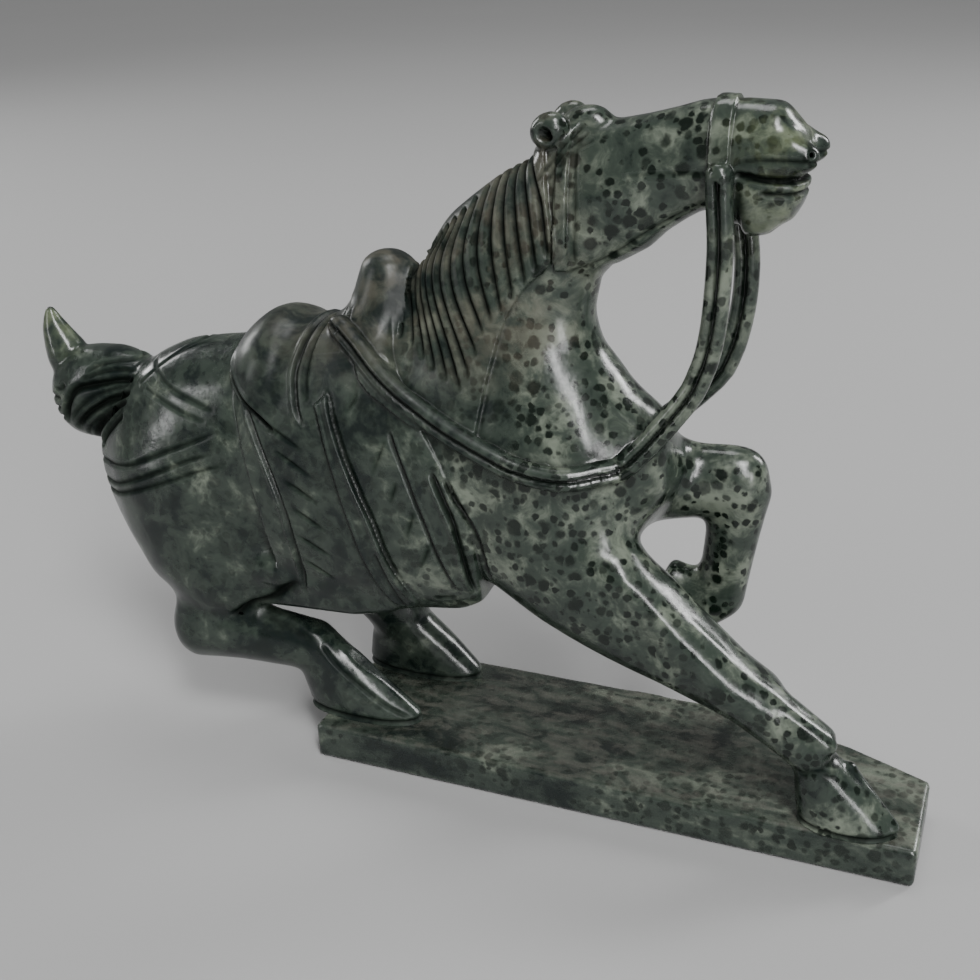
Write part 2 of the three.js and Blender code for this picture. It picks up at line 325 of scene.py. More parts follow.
def at(node, x, y, z):
    """A point given as shares of a CAD node's box."""
    low, high = node_box(node)
    return low + np.array([x, y, z]) * (high - low)


def along_segment(x, z, start, end):
    """How far along a segment each place lies, from 0 to 1, and its offset from the segment."""
    (ax, az), (bx, bz) = start, end
    dx, dz = bx - ax, bz - az
    share = np.clip(((x - ax) * dx + (z - az) * dz) / max(dx * dx + dz * dz, TINY), 0, 1)
    return share, x - ax - share * dx, z - az - share * dz


def inside_outline(form, outline):
    """Distances over X and Z to a closed outline, below zero within it."""
    x, _, z = form.axes()
    nearest = np.full((x.shape[0], 1, z.shape[2]), EMPTY * EMPTY, np.float32)
    crossings = np.zeros(nearest.shape, bool)
    for start, end in zip(outline, np.roll(outline, -1, 0)):
        _, off_x, off_z = along_segment(x, z, start, end)
        nearest = np.minimum(nearest, off_x**2 + off_z**2)
        (ax, az), (bx, bz) = start, end
        if bz != az:
            crossings ^= ((az > z) != (bz > z)) & (x < (z - az) * (bx - ax) / (bz - az) + ax)
    return np.where(crossings, -np.sqrt(nearest), np.sqrt(nearest)).astype(np.float32)


HALF_WIDTH = 100  # past both of the horse's sides


def raised(form, node, shares, relief, margin=6):
    """The form swollen by a relief inside an outline that is drawn in shares of a node's box."""
    outline = curve(spots(node, shares + shares[:1]), 5)[:-1]
    low = np.array([outline[:, 0].min(), -HALF_WIDTH, outline[:, 1].min()]) - margin
    high = np.array([outline[:, 0].max(), HALF_WIDTH, outline[:, 1].max()]) + margin
    patch = form.part(form.window(low, high))
    patch.values = np.maximum(patch.values - np.float32(relief), inside_outline(patch, outline))
    return patch


def capsule_chain(form, path, radii, squash=(1, 1, 1)):
    """A round bar along a path, on its own window of the form's lattice."""
    path = np.array(path, float)
    margin = max(radii) + 4
    bar = form.part(form.window(path.min(0) - margin, path.max(0) + margin))
    axes = bar.axes()
    best = np.full(bar.values.shape, EMPTY, np.float32)
    path = path * squash
    for a, b, start, end in zip(path, path[1:], radii, radii[1:]):
        step = b - a
        off = [axis * wide - first for axis, wide, first in zip(axes, squash, a)]
        along = sum(far * way for far, way in zip(off, step)) / max(float(step @ step), TINY)
        share = np.clip(along, 0, 1).astype(np.float32)
        square = sum((far - share * way) ** 2 for far, way in zip(off, step))
        best = np.minimum(best, np.sqrt(square) - (start + (end - start) * share))
    bar.values = best.astype(np.float32)
    return bar


def centreline(name, axis, count, flip=False):
    """A bar's middle line, read from its CAD node in slices along one axis."""
    points, _ = node_mesh(name)
    low, high = points[:, axis].min(), points[:, axis].max()
    edges = np.linspace(low, high, count + 1)
    line = []
    for a, b in zip(edges, edges[1:]):
        inside = points[(points[:, axis] >= a) & (points[:, axis] <= b)]
        if len(inside):
            line.append((inside.min(0) + inside.max(0)) / 2)
    return np.array(line[::-1] if flip else line)


def rein_line(side):
    """One rein's middle line, from the noseband down, round the shoulder and up to the pommel."""
    loose = centreline(f"rein_loose_{side}", 2, 9, flip=True)
    shoulder = centreline(f"rein_shoulder_{side}", 0, 14, flip=True)
    upward = loose[0] - loose[1]
    above = loose[0] + REIN_RISE * upward / np.linalg.norm(upward)
    inward = -0.6 * shoulder[-1][1]
    sunk = shoulder[-1] + np.array([-2.5, inward, -7.0])
    return curve(np.vstack([[above], loose[:-1], shoulder[1:], sunk]), 3)


CLOTH_OUTLINE = [
    (-0.02, 0.75), (0.03, 0.62), (0.09, 0.38), (0.13, 0.15), (0.18, 0.055), (0.30, 0.02), (0.40, 0.025),
    (0.52, -0.06), (0.64, 0.00), (0.80, 0.03), (0.92, 0.08), (0.985, 0.13), (0.99, 0.30), (0.95, 0.50),
    (0.84, 0.70), (0.66, 0.90), (0.50, 1.05), (0.20, 1.08), (-0.04, 0.98),
]
CANTLE_OUTLINE = [
    (0.02, 0.90), (0.00, 0.55), (0.14, 0.28), (0.45, 0.10), (0.86, -0.10), (1.15, -0.24), (1.60, -0.20),
    (2.10, -0.05), (2.35, 0.40), (2.30, 1.25), (0.5, 1.25), (0.15, 1.12),
]
MANE_OUTLINE = [
    (0.61, -0.14), (0.66, 0.10), (0.74, 0.33), (0.86, 0.48), (1.01, 0.60), (0.99, 0.80), (0.90, 1.10),
    (0.60, 1.30), (0.10, 0.95), (-0.25, 0.45), (-0.20, 0.08), (0.10, -0.08), (0.35, -0.16),
]
STRAP_OUTLINE = [
    (0.375, 0.79), (0.41, 0.69), (0.46, 0.53), (0.52, 0.34), (0.57, 0.20), (0.65, 0.07), (0.73, 0.10),
    (0.66, 0.26), (0.60, 0.42), (0.53, 0.57), (0.465, 0.73), (0.43, 0.82),
]
SHIN_EDGE = [
    (0.79, 0.30, 0.44), (0.885, 0.28, 0.34), (0.975, 0.27, 0.22), (1.08, 0.26, 0.15), (1.175, 0.22, 0.07),
    (1.26, 0.22, 0.0), (1.315, 0.24, -0.06),
]
HOOF_EDGE = [(0.48, 0.72, 0.80), (0.55, 0.70, 0.63), (0.735, 0.54, 0.38), (0.90, 0.46, 0.12)]
MANE_RELIEF = 1.5
BAND_RELIEF = 1.3
STRAP_RELIEF = 1.2
EDGE_RADIUS = 2.2
NOSTRIL_RADII = (4.4, 4.2)
REIN_RADIUS = 4.3
REIN_RISE = 9  # how far a rein runs on up over the noseband
REIN_GROOVE = 2.2  # the depth of the groove along a rein
HOOF_SINK = 0.4  # how far the hooves pass into the plinth


def dent(form, outer, inner, radius):
    """Drills a small rounded hollow."""
    form.cut(capsule_chain(form, [outer, inner], [radius * 1.4, radius * 0.7]), 1.2)


def add_region(form, name, band, softness, reach, growth=0.4):
    """Melts a small CAD region into the form, with its corners softened."""
    region = form.node(name, band)
    region.soften(softness)
    form.join(region, reach, growth)


def add_head(form):
    """The skull with its soft muzzle and its lower jaw."""
    muzzle = form.node("muzzle", 8)
    muzzle.soften(2.2)
    head = joined(joined(form.node("head", 8), muzzle), form.node("lower_jaw", 8))
    head.values -= np.float32(CLOSING)
    head.soften(1.2)
    form.join(head, 5)


def add_covers(form, cloth, saddle):
    """The saddle cloth, the saddle, the mane's bed and the strap over the cloth."""
    for patch, node, outline in (
        (cloth, "saddle_cloth_right", CLOTH_OUTLINE),
        (saddle, "saddle_cantle", CANTLE_OUTLINE),
    ):
        fine = patch.halved()
        fine.soften(0.7)
        form.join(raised(fine, node, outline, 0.0), 0.5)
    form.join(raised(form, "mane_right", MANE_OUTLINE, MANE_RELIEF), 1.5)
    form.join(raised(form, "saddle_cloth_right", STRAP_OUTLINE, STRAP_RELIEF), 0.4)


def add_band(form, name):
    """A flat band of the bridle, raised over the head."""
    low, high = node_box(name)
    patch = form.part(form.window(low - 3, high + 3))
    x, _, z = patch.axes()
    ends = np.maximum(low[0] - x, x - high[0])
    limit = np.maximum(ends, np.maximum(low[2] - 2 - z, z - high[2] - 2))
    patch.values = np.maximum(patch.values - np.float32(BAND_RELIEF), limit)
    form.join(patch, 0.4)


def add_ear(form, name):
    """One ear, hollow on its outer side."""
    add_region(form, name, band=6, softness=0.7, reach=1.6)
    outward = -1 if name.endswith(RIGHT) else 1
    outer = at(name, 0.45, 0.5 + 0.5 * outward, 0.42)
    inner = at(name, 0.62, 0.5 + 0.1 * outward, 0.36)
    dent(form, outer, inner, 1.9)


def add_nostril(form, across):
    """One nostril: a swelling with a small hollow at its end."""
    thicken(form, "muzzle", across, ((0.80, 0.66), (0.96, 0.62)), NOSTRIL_RADII, 4)
    outward = 1 if across > 0.5 else -1
    dent(form, at("muzzle", 1.10, across + 0.2 * outward, 0.66), at("muzzle", 0.99, across, 0.64), 0.7)


def add_edge(form, node, shares):
    """A narrow bar that makes a ridge down the front of a leg or hoof."""
    edge = curve([at(node, *share) for share in shares], 3)
    form.join(capsule_chain(form, edge, [EDGE_RADIUS] * len(edge)), 2.5)


def add_rein(form, side):
    """One rein as a round bar, flattened a little across the horse."""
    line = rein_line(side)
    form.join(capsule_chain(form, line, [REIN_RADIUS] * len(line), (1, 1.15, 1)), 0.8)


def horse_form():
    """The whole horse as one form, and its CAD nodes on the coarse lattice."""
    scaffold = Lattice.around(*horse_box(BAND + COARSE), COARSE)
    coarse_nodes = {name: scaffold.node(name) for name in HORSE_NODES}
    form = big_forms(coarse_nodes)
    cloth = laid_over(form, coarse_nodes, both("saddle_cloth"), 2.4)
    saddle = laid_over(form, coarse_nodes, both("saddle_cloth") + ["saddle_cantle", "saddle_seat"], 2.2)
    form = form.halved()
    form.soften(0.7)
    add_head(form)
    add_covers(form, cloth, saddle)
    for name in ["noseband"] + both("throat_latch"):
        add_band(form, name)
    add_region(form, "saddle_pommel", band=6, softness=1.5, reach=9)
    add_region(form, "forelock", band=8, softness=0.8, reach=4, growth=0.6)
    for name in both("ear"):
        add_ear(form, name)
    for across in SIDES:
        add_nostril(form, across)
    add_edge(form, "foreleg_upper_right", SHIN_EDGE)
    add_edge(form, "fore_hoof_right", HOOF_EDGE)
    add_region(form, "tail_tuft", band=6, softness=1.0, reach=2)
    for side in (RIGHT, LEFT):
        add_rein(form, side)
    stand_through(form, PLINTH_TOP + 1.5)
    _, _, z = form.axes()
    form.values = np.maximum(form.values, (PLINTH_TOP - HOOF_SINK) - z)
    return form, coarse_nodes


# -------- surfaces


def surface_of(form):
    """A form's surface as points in millimetres and four-cornered faces that point outwards."""
    edge = np.float32(2.5 * form.step)
    values = np.clip(form.values, -edge, edge)
    grid = openvdb.FloatGrid(float(edge))
    grid.copyFromArray(values, ijk=[int(i) for i in form.first], tolerance=1e-6)
    grid.transform = openvdb.createLinearTransform(voxelSize=form.step)
    points, _, quads = grid.convertToPolygons(isovalue=0, adaptivity=0)
    points, quads = np.array(points, np.float64), np.array(quads, np.int64)
    if signed_volume(points, quads) < 0:
        quads = quads[:, ::-1]
    return points, quads


# -------- engraving


LEAST_FLATNESS = 0.35  # keeps lines from spreading where the surface turns away
MATT_SPREAD = 2.2  # how far the matt stone beside a groove reaches, in groove widths


def gathered(index, rows, count):
    """Sums rows of values by the point that each belongs to."""
    return np.stack([np.bincount(index, column, count) for column in rows.T], 1)


class Skin:
    """The horse's surface while it is being worked, in millimetres."""

    def __init__(self, form, nodes):
        self.form = form
        self.points, self.quads = surface_of(form)
        self.edges = edge_pairs(self.quads)
        self.smooth(3)
        self.labels = nearest_nodes(self.points, nodes)
        self.normals = self.find_normals()
        self.cut = np.zeros(len(self.points))
        self.matt = np.zeros(len(self.points))
        self.lift = np.zeros(len(self.points))

    def neighbours_mean(self, values):
        """Each point's mean of its neighbours' values, given as rows."""
        a, b = self.edges.T
        count = len(self.points)
        total = gathered(a, values[b], count) + gathered(b, values[a], count)
        degree = np.bincount(a, minlength=count) + np.bincount(b, minlength=count)
        return total / np.maximum(degree, 1)[:, None]

    def smooth(self, rounds):
        """Evens out the lattice's small steps without shrinking the form."""
        for _ in range(rounds):
            for amount in (0.5, -0.52):
                self.points += amount * (self.neighbours_mean(self.points) - self.points)

    def find_normals(self):
        """Each point's outward direction, from the faces around it."""
        p, q = self.points, self.quads
        face = np.cross(p[q[:, 2]] - p[q[:, 0]], p[q[:, 3]] - p[q[:, 1]])
        normals = gathered(q.ravel(), np.repeat(face, 4, axis=0), len(p))
        return normals / np.maximum(np.linalg.norm(normals, axis=1), 1e-12)[:, None]

    def chosen(self, regions, line, reach, side=None):
        """The points in some regions, near a line's box, on one side or on both."""
        x, z = self.points[:, 0], self.points[:, 2]
        low, high = line.min(0) - reach, line.max(0) + reach
        near = (x > low[0]) & (x < high[0]) & (z > low[1]) & (z < high[1])
        if side is not None:
            near &= (self.points[:, 1] < 0) == (side == RIGHT)
        index = np.flatnonzero(near)
        return index[np.isin(self.labels[index], region_numbers(regions))]

    def across(self, index, line):
        """Each point's distance over the surface from a line in X and Z, its side, and its share along."""
        x, z = self.points[index, 0], self.points[index, 2]
        best = np.full(len(index), np.inf)
        side = np.ones(len(index))
        share = np.zeros(len(index))
        away = np.zeros((len(index), 2))
        run = np.concatenate([[0], np.cumsum(np.linalg.norm(np.diff(line, axis=0), axis=1))])
        for start, end, before, after in zip(line, line[1:], run, run[1:]):
            t, off_x, off_z = along_segment(x, z, start, end)
            dx, dz = end - start
            far = off_x * off_x + off_z * off_z
            closer = far < best
            best[closer] = far[closer]
            side[closer] = np.sign(dx * off_z - dz * off_x)[closer]
            share[closer] = ((before + t * (after - before)) / run[-1])[closer]
            away[closer] = np.stack([off_x, off_z], 1)[closer]
        distance = np.sqrt(best)
        unit = away / np.maximum(distance, TINY)[:, None]
        lean = unit[:, 0] * self.normals[index, 0] + unit[:, 1] * self.normals[index, 2]
        flatness = np.sqrt(np.maximum(1 - lean**2, 0))
        return distance / np.maximum(flatness, LEAST_FLATNESS), side, share

    def groove(self, regions, line, width, depth, fade=(0.08, 0.12), side=None, lip=0.0):
        """Cuts a groove along a line, with a raised lip on its left side if `lip` isn't zero.

        `fade` is the share at each end over which it shallows out.
        """
        index = self.chosen(regions, line, 4 * width, side)
        if not len(index):
            return
        distance, which, share = self.across(index, line)
        strength = faded(share, fade)
        amount = depth * np.exp(-((distance / width) ** 2)) * strength
        self.cut[index] = np.maximum(self.cut[index], amount)
        beside = np.exp(-((distance / (MATT_SPREAD * width)) ** 2)) * strength**0.5
        self.matt[index] = np.maximum(self.matt[index], (0.3 if lip else 1.0) * beside)
        if lip:
            crest = np.exp(-(((distance - 1.7 * width) / width) ** 2)) * (which * np.sign(lip) > 0)
            self.lift[index] = np.maximum(self.lift[index], abs(lip) * crest * strength)

    def crest(self, regions, line, height, width, fade=(0.2, 0.1), side=RIGHT):
        """Raises a sharp edge along a line."""
        index = self.chosen(regions, line, 4 * width, side)
        if not len(index):
            return
        distance, _, share = self.across(index, line)
        self.lift[index] += height * np.exp(-((distance / width) ** 2)) * faded(share, fade)

    def carve(self):
        """Moves the points by what was engraved so far."""
        self.points += self.normals * (self.lift - self.cut)[:, None]
        self.normals = self.find_normals()


def faded(share, fade):
    """A line's strength along its length, rising at its start and dropping at its end."""
    rise = np.clip(share / max(fade[0], TINY), 0, 1)
    drop = np.clip((1 - share) / max(fade[1], TINY), 0, 1)
    return np.sin(rise * np.pi / 2) * np.sin(drop * np.pi / 2)


def signed_volume(p, q):
    """The volume inside a closed surface, below zero if its faces point inwards."""
    a, b, c, d = (p[q[:, i]] for i in range(4))
    return float((np.cross(a, b) * c).sum() + (np.cross(a, c) * d).sum()) / 6


def edge_keys(quads):
    """One number for each side of each face, the same for both faces that share the edge."""
    pairs = np.vstack([quads[:, [i, (i + 1) % 4]] for i in range(4)])
    pairs.sort(axis=1)
    return pairs[:, 0] * (quads.max() + 1) + pairs[:, 1]


def edge_pairs(quads):
    """The edges of some faces, each once, as pairs of points."""
    return np.stack(np.divmod(np.unique(edge_keys(quads)), quads.max() + 1), 1)


def nearest_nodes(points, nodes):
    """The number of the CAD node that each point lies nearest to."""
    best = np.full(len(points), np.inf, np.float32)
    labels = np.zeros(len(points), int)
    for number, name in enumerate(HORSE_NODES):
        low, high = node_box(name)
        near = ((points > low - 5) & (points < high + 5)).all(1)
        index = np.flatnonzero(near)
        distance = nodes[name].sample(points[index])
        closer = distance < best[index]
        best[index[closer]] = distance[closer]
        labels[index[closer]] = number
    return labels


def region_numbers(regions):
    """The numbers of the nodes whose names start with any of the regions' names."""
    return [n for n, name in enumerate(HORSE_NODES) if name.startswith(tuple(regions))]


HIND = ("rump", "hindleg_thigh", "barrel")
CLOTH = ("saddle_cloth", "girth_strap", "barrel", "chest", "foreleg_upper")


def comb_mane(skin):
    """The mane's grooves, from the crest down to where they fade out on the neck."""
    mane = "mane_right"
    top = drawn(mane, (0.02, 0.46), (0.21, 0.62), (0.40, 0.75), (0.64, 0.92), (0.83, 1.01))
    middle = drawn(mane, (-0.07, 0.34), (0.10, 0.44), (0.33, 0.49), (0.66, 0.66), (0.94, 0.84))
    rear_foot = drawn(mane, (-0.10, 0.20), (0.12, 0.16), (0.30, 0.09), (0.50, 0.02))
    front_foot = drawn(mane, (0.55, 0.07), (0.62, 0.26), (0.72, 0.36), (0.86, 0.48), (0.99, 0.60))
    feet = [along(rear_foot, i / 6) for i in range(7)] + [along(front_foot, i / 8) for i in range(9)]
    for i, foot in enumerate(feet):
        share = i / (len(feet) - 1)
        line = curve([along(top, share), along(middle, share), foot])
        skin.groove(("mane", "neck", "barrel", "chest"), line, 0.85, 1.7, (0.01, 0.15))


def along(line, share):
    """The point at a share of a line's points."""
    place = share * (len(line) - 1)
    low = min(int(place), len(line) - 2)
    return line[low] + (place - low) * (line[low + 1] - line[low])


def engrave_rump(skin):
    """The breeching straps and the lines over the croup."""
    for shares, depth in (
        ([(0.00, 0.47), (0.19, 0.49), (0.36, 0.52), (0.54, 0.58), (0.72, 0.64), (0.90, 0.70)], 1.0),
        ([(0.00, 0.41), (0.19, 0.41), (0.40, 0.47), (0.58, 0.53), (0.73, 0.58), (0.88, 0.62)], 1.0),
        ([(0.00, 0.36), (0.19, 0.37), (0.41, 0.43), (0.58, 0.48), (0.74, 0.53), (0.96, 0.59)], 0.9),
        ([(0.40, 0.88), (0.53, 0.84), (0.66, 0.81), (0.77, 0.79), (0.88, 0.77)], 0.6),
        ([(0.42, 0.80), (0.55, 0.78), (0.70, 0.75), (0.84, 0.73)], 0.5),
        ([(0.36, 0.80), (0.52, 0.90), (0.66, 0.95), (0.81, 0.97)], 0.6),
        ([(0.45, 0.86), (0.60, 0.94), (0.78, 0.99)], 0.5),
    ):
        skin.groove(HIND, drawn("rump", *shares), 0.7, depth, (0.02, 0.2))


def engrave_cloth(skin):
    """The cloth's border, its stitched folds and the strap that crosses it."""

    def line(*shares):
        return drawn("saddle_cloth_right", *shares)

    border = line((0.05, 0.76), (0.13, 0.61), (0.20, 0.44), (0.24, 0.27), (0.25, 0.06))
    skin.groove(CLOTH, border, 0.8, 1.5, lip=-0.7)
    strap = ((0.375, 0.79), (0.41, 0.69), (0.46, 0.53), (0.52, 0.34), (0.57, 0.20), (0.64, 0.05))
    skin.groove(CLOTH, line(*strap), 0.8, 1.5, lip=0.7)
    strap = ((0.425, 0.84), (0.465, 0.73), (0.53, 0.57), (0.60, 0.42), (0.66, 0.26), (0.72, 0.12))
    skin.groove(CLOTH, line(*strap), 0.8, 1.3, lip=-0.8)
    skin.groove(CLOTH, line((0.60, 0.30), (0.64, 0.18), (0.68, 0.05)), 0.8, 1.2, lip=0.5)
    folds = [
        ((0.14, 0.71), (0.33, 0.63)),
        ((0.19, 0.62), (0.36, 0.54)),
        ((0.22, 0.52), (0.38, 0.45)),
        ((0.25, 0.42), (0.40, 0.35)),
        ((0.26, 0.32), (0.41, 0.25)),
        ((0.27, 0.22), (0.40, 0.15)),
    ]
    slashes = [
        ((0.55, 0.84), (0.50, 0.77)),
        ((0.67, 0.71), (0.61, 0.58)),
        ((0.71, 0.57), (0.68, 0.49)),
        ((0.78, 0.48), (0.73, 0.36)),
        ((0.84, 0.37), (0.78, 0.26)),
        ((0.80, 0.13), (0.91, 0.15)),
    ]
    for start, end in folds + slashes:
        skin.groove(CLOTH, line(start, end), 0.62, 1.0, (0.6, 0.8))
    skin.groove(CLOTH, line((0.68, 0.74), (0.78, 0.51), (0.91, 0.18)), 0.85, 1.8, lip=0.7)
    skin.groove(CLOTH, line((0.85, 0.62), (0.94, 0.41), (0.98, 0.17)), 0.95, 2.2, lip=-0.9)
    skin.groove(CLOTH, line((0.90, 0.60), (1.00, 0.40), (1.04, 0.22)), 0.85, 1.8, lip=0.5)


def twist_tail(skin):
    """The strands wound round the tail's knot, below a smooth cap."""
    tail = ("tail_knot", "rump")
    deep = (
        [(1.02, 0.78), (0.86, 0.76), (0.62, 0.70), (0.43, 0.63), (0.31, 0.44), (0.23, 0.22)],
        [(1.04, 0.70), (0.86, 0.60), (0.70, 0.50), (0.51, 0.36), (0.31, 0.16)],
        [(1.02, 0.62), (0.90, 0.54), (0.77, 0.42), (0.58, 0.22), (0.47, 0.02)],
        [(1.00, 0.50), (0.88, 0.38), (0.74, 0.22), (0.66, 0.06)],
    )
    shallow = (
        [(1.00, 0.84), (0.80, 0.85), (0.62, 0.80), (0.48, 0.72)],
        [(0.98, 0.92), (0.80, 0.92), (0.64, 0.88), (0.52, 0.80)],
        [(1.00, 0.74), (0.80, 0.66), (0.60, 0.56), (0.40, 0.38), (0.30, 0.26)],
        [(1.00, 0.65), (0.86, 0.53), (0.68, 0.38), (0.46, 0.18), (0.40, 0.06)],
        [(1.00, 0.56), (0.86, 0.42), (0.70, 0.22), (0.58, 0.05)],
        [(0.00, 0.48), (0.12, 0.49), (0.24, 0.50)],
        [(-0.02, 0.37), (0.10, 0.37), (0.22, 0.40)],
        [(0.02, 0.27), (0.12, 0.26), (0.22, 0.29)],
        [(0.30, 0.66), (0.24, 0.60), (0.14, 0.58)],
    )
    for shares in deep:
        skin.groove(tail, drawn("tail_knot", *shares), 1.3, 2.8, (0.1, 0.2))
    for shares in shallow:
        skin.groove(tail, drawn("tail_knot", *shares), 0.85, 1.1, (0.2, 0.25))


def engrave_legs(skin):
    """The lines over the hooves and shins, the fold above the near thigh, a wide groove whose darkening
    paints the shadow on the near hind shin, and the soles.
    """
    fore, hind = "fore_hoof_right", "hind_hoof_right"
    crease = drawn(fore, (0.05, 0.84), (0.22, 0.92), (0.40, 0.90))
    skin.groove((fore, "foreleg_cannon_right"), crease, 0.8, 0.6, side=RIGHT)
    shin = (hind, "hindleg_cannon_right", "hindleg_thigh_right")
    crease = drawn(hind, (0.24, 0.86), (0.39, 0.60), (0.66, 0.27), (0.90, 0.07))
    skin.groove(shin, crease, 0.8, 0.7, side=RIGHT)
    skin.crest(shin, drawn(hind, (0.30, 0.86), (0.48, 0.60), (0.72, 0.33), (0.92, 0.12)), 0.9, 1.8)
    shares = ((-0.14, -0.12), (-0.10, -0.10), (-0.03, -0.055), (0.05, -0.02), (0.14, 0.04), (0.23, 0.10))
    fold = drawn("barrel", *shares)
    thigh = ("hindleg_thigh_right", "hindleg_cannon_right", "saddle_cloth_right", "barrel", "rump")
    skin.groove(thigh, fold, 1.4, 2.4, (0.2, 0.25), side=RIGHT)
    # a wide shallow groove whose darkened colour paints the shadow on top of the near hind shin, under the
    # belly
    under = drawn("barrel", (-0.03, -0.105), (0.07, -0.125), (0.16, -0.15), (0.25, -0.19))
    skin.groove(shin + ("barrel",), under, 2.0, 1.0, (0.25, 0.4), side=RIGHT)
    for name in both("fore_hoof") + both("hind_hoof"):
        sole = drawn(name, (-0.03, 0.05), (0.5, 0.04), (1.03, 0.04))
        skin.groove((name,), sole, 0.9, 1.3, (0.0, 0.0))


def engrave_saddle(skin):
    """The deep undercut below the cantle's rolled edge and the two lines in front of the seat."""
    saddle = ("saddle_cantle", "saddle_cloth", "saddle_seat", "rump", "barrel")
    shares = ((0.04, 0.60), (0.12, 0.42), (0.30, 0.28), (0.56, 0.10), (0.90, -0.08), (1.05, -0.15))
    under = drawn("saddle_cantle", *shares)
    skin.groove(saddle, under, 1.2, 3.0, (0.15, 0.15), lip=1.0)
    shares = ((0.33, 1.02), (0.325, 0.80), (0.32, 0.58), (0.31, 0.34), (0.37, -0.01), (0.48, -0.24))
    front = drawn("saddle_seat", *shares)
    skin.groove(saddle, front, 0.9, 1.8, (0.02, 0.2), lip=-0.6)
    beside = drawn("saddle_seat", (0.50, 1.02), (0.47, 0.80), (0.46, 0.58), (0.46, 0.34), (0.51, 0.05))
    skin.groove(saddle, beside, 0.7, 0.9, (0.02, 0.3))


def engrave_reins(skin):
    """The groove that makes each rein a doubled band."""
    for side in (RIGHT, LEFT):
        line = rein_line(side)
        rein = region_numbers([f"rein_loose_{side}", f"rein_shoulder_{side}"])
        index = np.flatnonzero(np.isin(skin.labels, rein))
        place = skin.points[index]
        best = np.full(len(index), np.inf)
        sideways = np.zeros(len(index))
        for a, b in zip(line, line[1:]):
            step = b - a
            t = np.clip(((place - a) @ step) / (step @ step), 0, 1)
            away = place - a - t[:, None] * step
            far = (away**2).sum(1)
            closer = far < best
            best[closer] = far[closer]
            across = np.array([step[2], 0, -step[0]]) / max(math.hypot(step[0], step[2]), TINY)
            sideways[closer] = np.abs(away[closer] @ across)
        flank = np.clip(4 * (np.abs(skin.normals[index, 1]) - 0.2), 0, 1)
        skin.cut[index] = np.maximum(skin.cut[index], REIN_GROOVE * np.exp(-(sideways**2)) * flank)


def engrave_head(skin):
    """The mouth, the lips and the lines of the jaw and bridle."""
    mouth = ("muzzle", "lower_jaw")
    skin.groove(mouth, drawn("muzzle", (0.17, 0.49), (0.55, 0.46), (1.15, 0.45)), 0.8, 2.6, (0.1, 0.0))
    skin.groove(mouth, drawn("lower_jaw", (0.30, 0.82), (0.70, 0.80), (1.2, 0.80)), 0.7, 1.5, (0.2, 0.0))
    skin.groove(mouth, drawn("muzzle", (0.20, 0.57), (0.55, 0.60), (1.15, 0.59)), 0.7, 0.9, (0.2, 0.0))

    face = ("head", "muzzle", "lower_jaw", "throat_latch", "neck", "forelock", "mane")

    def line(*shares):
        return drawn("head", *shares)

    skin.groove(face, line((0.50, 0.59), (0.70, 0.61), (0.94, 0.62)), 0.5, 0.4, (0.3, 0.1))
    skin.groove(face, line((0.25, 0.76), (0.26, 0.38), (0.25, 0.06)), 0.6, 0.7)
    skin.groove(face, line((0.14, 0.70), (0.15, 0.38), (0.14, 0.10)), 0.5, 0.5)
    skin.groove(face, line((0.20, 0.02), (0.37, 0.09), (0.51, 0.18), (0.64, 0.28), (0.84, 0.41)), 0.8, 0.8)
    for drop in (0.0, 0.07, 0.14):
        start, end = (0.27 + drop / 2, 0.85 - drop / 2), (0.03 + drop, 0.52 + drop / 3)
        skin.groove(face, line(start, (0.15 + drop / 2, 0.70), end), 0.5, 0.6)


# -------- pieces


def islands(count, a, b):
    """Numbers the connected groups among `count` items joined by the pairs a, b."""
    root = np.arange(count)
    while True:
        low = np.minimum(root[a], root[b])
        fresh = root.copy()
        np.minimum.at(fresh, root[a], low)
        np.minimum.at(fresh, root[b], low)
        while not np.array_equal(fresh[fresh], fresh):
            fresh = fresh[fresh]
        if np.array_equal(fresh, root):
            return root
        root = fresh


def face_neighbours(quads):
    """Pairs of faces that share an edge."""
    keys = edge_keys(quads)
    faces = np.tile(np.arange(len(quads)), 4)
    order = np.argsort(keys, kind="stable")
    same = keys[order][1:] == keys[order][:-1]
    return faces[order][:-1][same], faces[order][1:][same]


def face_regions(skin, smallest=250):
    """The node that each face belongs to, with stray patches given to their neighbours."""
    regions = skin.labels[skin.quads[:, 0]]
    a, b = face_neighbours(skin.quads)
    count = len(HORSE_NODES)
    for _ in range(4):
        votes = np.zeros((len(regions), count), np.int8)
        votes[np.arange(len(regions)), regions] = 1
        np.add.at(votes, (a, regions[b]), 1)
        np.add.at(votes, (b, regions[a]), 1)
        regions = votes.argmax(1)
    for _ in range(4):
        same = regions[a] == regions[b]
        root = islands(len(regions), a[same], b[same])
        size = np.bincount(root, minlength=len(regions))[root]
        stray = size < smallest
        if not stray.any():
            break
        takers = {}
        for here, there in ((a, b), (b, a)):
            border = ~same & stray[here] & ~stray[there]
            takers.update(zip(root[here[border]].tolist(), regions[there[border]].tolist()))
        for patch, region in takers.items():
            regions[root == patch] = region
    return regions


def border_loops(quads):
    """The closed loops of points around an open patch of faces."""
    heads = quads.ravel()
    tails = np.roll(quads, -1, axis=1).ravel()
    top = int(max(heads.max(), tails.max())) + 1
    forward, backward = heads * top + tails, tails * top + heads
    open_edges = ~np.isin(forward, backward)
    following = {}
    for head, tail in zip(heads[open_edges].tolist(), tails[open_edges].tolist()):
        following.setdefault(head, []).append(tail)
    loops = []
    while following:
        start = next(iter(following))
        loop = [start]
        while True:
            here = loop[-1]
            nexts = following[here]
            there = nexts.pop()
            if not nexts:
                del following[here]
            if there == start:
                break
            loop.append(there)
        loops.append(loop)
    return loops


